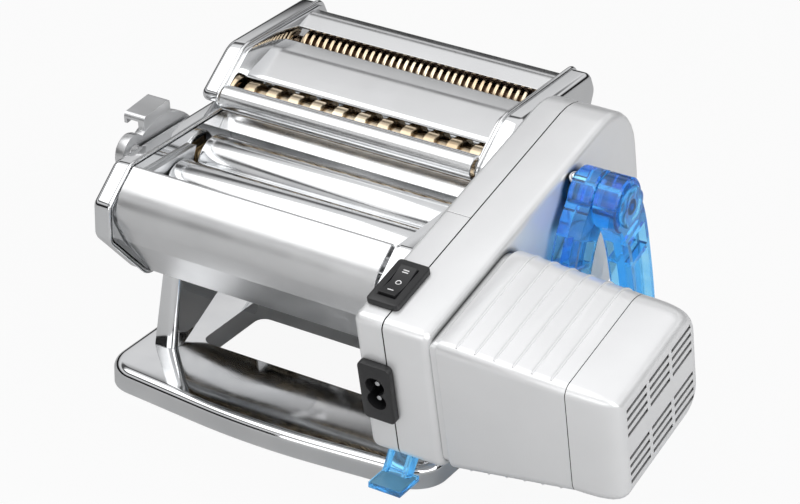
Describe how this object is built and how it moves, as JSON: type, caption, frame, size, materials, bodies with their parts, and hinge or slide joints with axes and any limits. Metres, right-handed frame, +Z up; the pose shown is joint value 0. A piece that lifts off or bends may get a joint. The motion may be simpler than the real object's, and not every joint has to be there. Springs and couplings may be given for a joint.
{
  "type": "electric pasta maker",
  "caption": "Chromed pasta sheeting machine on an arched stand, with a lift-off double cutter on top and a geared electric motor unit on its right side.",
  "frame": {"origin": "on the table, under the front wall of the window in the base, midway between the stands", "axes": "+X towards the motor unit along the rollers, +Y from the front cover to the cutter, +Z up"},
  "size_m": [0.3143, 0.2278, 0.1604],
  "materials": {
    "chrome": "bright chromed sheet steel",
    "steel": "plain steel",
    "roller_steel": "ground and plated steel",
    "bronze": "sintered bearing bronze",
    "cutter_metal": "pale gold-tinted metal",
    "satin_silver": "satin silver",
    "silver_plastic": "silver-white moulded plastic, semi-gloss",
    "white_plastic": "white nylon",
    "black_plastic": "black plastic",
    "blue_plastic": "clear blue moulded plastic"
  },
  "bodies": {
    "machine": {"base_frame": "chrome", "left_stand": "chrome", "right_stand": "chrome", "left_frame": "chrome", "right_frame": "chrome", "left_side_cover": "chrome", "right_side_cover": "chrome", "front_cover": "chrome", "rear_cover": "chrome", "hopper_plate": "chrome", "left_guide": "steel", "right_guide": "steel", "front_scraper": "steel", "rear_scraper": "steel", "front_tie_rod": "steel", "rear_tie_rod": "steel"},
    "front_roller": {"front_roller": "roller_steel", "front_roller_gear": "steel"},
    "carriage": {"left_bearing_block": "bronze", "right_bearing_block": "bronze"},
    "rear_roller": {"rear_roller": "roller_steel", "rear_roller_gear": "steel"},
    "selector": {"selector_dial": "satin_silver", "selector_cam": "steel"},
    "cutter": {"cutter_left_plate": "chrome", "cutter_right_plate": "chrome", "cutter_left_panel": "chrome", "cutter_right_panel": "chrome", "cutter_front_arch": "chrome", "cutter_middle_arch": "chrome", "cutter_rear_arch": "chrome"},
    "wide_driven": {"wide_driven_roller": "cutter_metal", "wide_driven_gear": "steel"},
    "wide_second": {"wide_second_roller": "cutter_metal", "wide_second_gear": "steel"},
    "narrow_driven": {"narrow_driven_roller": "cutter_metal", "narrow_driven_gear": "steel"},
    "narrow_second": {"narrow_second_roller": "cutter_metal", "narrow_second_gear": "steel"},
    "motor_unit": {"unit_front_panel": "silver_plastic", "unit_rear_panel": "silver_plastic", "unit_outer_shell": "silver_plastic", "unit_end_cap": "silver_plastic", "motor_can": "steel", "output_bush": "bronze", "switch_bezel": "black_plastic", "power_inlet": "black_plastic", "leg_pin": "chrome"},
    "rotor": {"motor_rotor": "steel", "motor_fan": "white_plastic"},
    "first_gear": {"first_gear": "white_plastic"},
    "second_gear": {"second_gear": "white_plastic"},
    "output_gear": {"output_gear": "steel"},
    "rocker": {"switch_rocker": "black_plastic"},
    "inner_leg": {"inner_leg": "blue_plastic", "leg_screw": "chrome"},
    "outer_leg": {"outer_leg": "blue_plastic"},
    "lever": {"release_lever": "blue_plastic"}
  },
  "joints": [
    {"name": "front_roller_spin", "type": "hinge", "parent": "machine", "child": "front_roller", "pos_m": [0, -0.01043, 0.10403], "axis": [1, 0, 0], "continuous": true},
    {"name": "selector_turn", "type": "hinge", "parent": "machine", "child": "selector", "pos_m": [-0.088, -0.0007, 0.1], "axis": [1, 0, 0], "range_deg": [0, 150]},
    {"name": "gap_slide", "type": "slide", "parent": "machine", "child": "carriage", "axis": [0, 1, 0], "range_m": [0, 0.0024]},
    {"name": "rear_roller_spin", "type": "hinge", "parent": "carriage", "child": "rear_roller", "pos_m": [0, 0.0178, 0.106], "axis": [1, 0, 0], "continuous": true},
    {"name": "cutter_lift", "type": "slide", "parent": "machine", "child": "cutter", "axis": [0, 0, 1], "range_m": [0, 0.06]},
    {"name": "wide_spin", "type": "hinge", "parent": "cutter", "child": "wide_driven", "pos_m": [0, 0.0488, 0.128], "axis": [1, 0, 0], "continuous": true},
    {"name": "wide_second_spin", "type": "hinge", "parent": "cutter", "child": "wide_second", "pos_m": [0, 0.06429, 0.121], "axis": [1, 0, 0], "continuous": true},
    {"name": "narrow_spin", "type": "hinge", "parent": "cutter", "child": "narrow_driven", "pos_m": [0, 0.1028, 0.1373], "axis": [1, 0, 0], "continuous": true},
    {"name": "narrow_second_spin", "type": "hinge", "parent": "cutter", "child": "narrow_second", "pos_m": [0, 0.0876, 0.12969], "axis": [1, 0, 0], "continuous": true},
    {"name": "unit_slide", "type": "slide", "parent": "machine", "child": "motor_unit", "axis": [1, 0, 0], "range_m": [0, 0.05]},
    {"name": "output_spin", "type": "hinge", "parent": "motor_unit", "child": "output_gear", "pos_m": [0, -0.01043, 0.10403], "axis": [1, 0, 0], "continuous": true},
    {"name": "second_gear_spin", "type": "hinge", "parent": "motor_unit", "child": "second_gear", "pos_m": [0.107, -0.00412, 0.08049], "axis": [1, 0, 0], "continuous": true},
    {"name": "first_gear_spin", "type": "hinge", "parent": "motor_unit", "child": "first_gear", "pos_m": [0.114, -0.03228, 0.07784], "axis": [1, 0, 0], "continuous": true},
    {"name": "rotor_spin", "type": "hinge", "parent": "motor_unit", "child": "rotor", "pos_m": [0.155, -0.05371, 0.09429], "axis": [1, 0, 0], "continuous": true},
    {"name": "rocker_tilt", "type": "hinge", "parent": "motor_unit", "child": "rocker", "pos_m": [0.0956, -0.07583, 0.12858], "axis": [1, 0, 0], "range_deg": [-9, 9]},
    {"name": "inner_leg_swing", "type": "hinge", "parent": "motor_unit", "child": "inner_leg", "pos_m": [0.134, 0.03256, 0.13763], "axis": [1, 0, 0], "range_deg": [0, 28]},
    {"name": "outer_leg_swing", "type": "hinge", "parent": "motor_unit", "child": "outer_leg", "pos_m": [0.147, 0.03256, 0.13763], "axis": [1, 0, 0], "range_deg": [0, 40]},
    {"name": "lever_press", "type": "hinge", "parent": "motor_unit", "child": "lever", "pos_m": [0.0943, -0.05239, 0.0545], "axis": [1, 0, 0], "range_deg": [0, 10], "stiffness_Nm_per_rad": 0.2, "springref_deg": -1.15}
  ],
  "couplings": [
    {"joint": "gap_slide", "follows": "selector_turn", "m_per_rad": 0.00091673},
    {"joint": "first_gear_spin", "follows": "rotor_spin", "ratio": -0.28125},
    {"joint": "second_gear_spin", "follows": "rotor_spin", "ratio": 0.090402},
    {"joint": "output_spin", "follows": "rotor_spin", "ratio": -0.036983},
    {"joint": "front_roller_spin", "follows": "rotor_spin", "ratio": -0.036983},
    {"joint": "rear_roller_spin", "follows": "rotor_spin", "ratio": 0.036983},
    {"joint": "wide_second_spin", "follows": "wide_spin", "ratio": -1},
    {"joint": "narrow_second_spin", "follows": "narrow_spin", "ratio": -1}
  ]
}
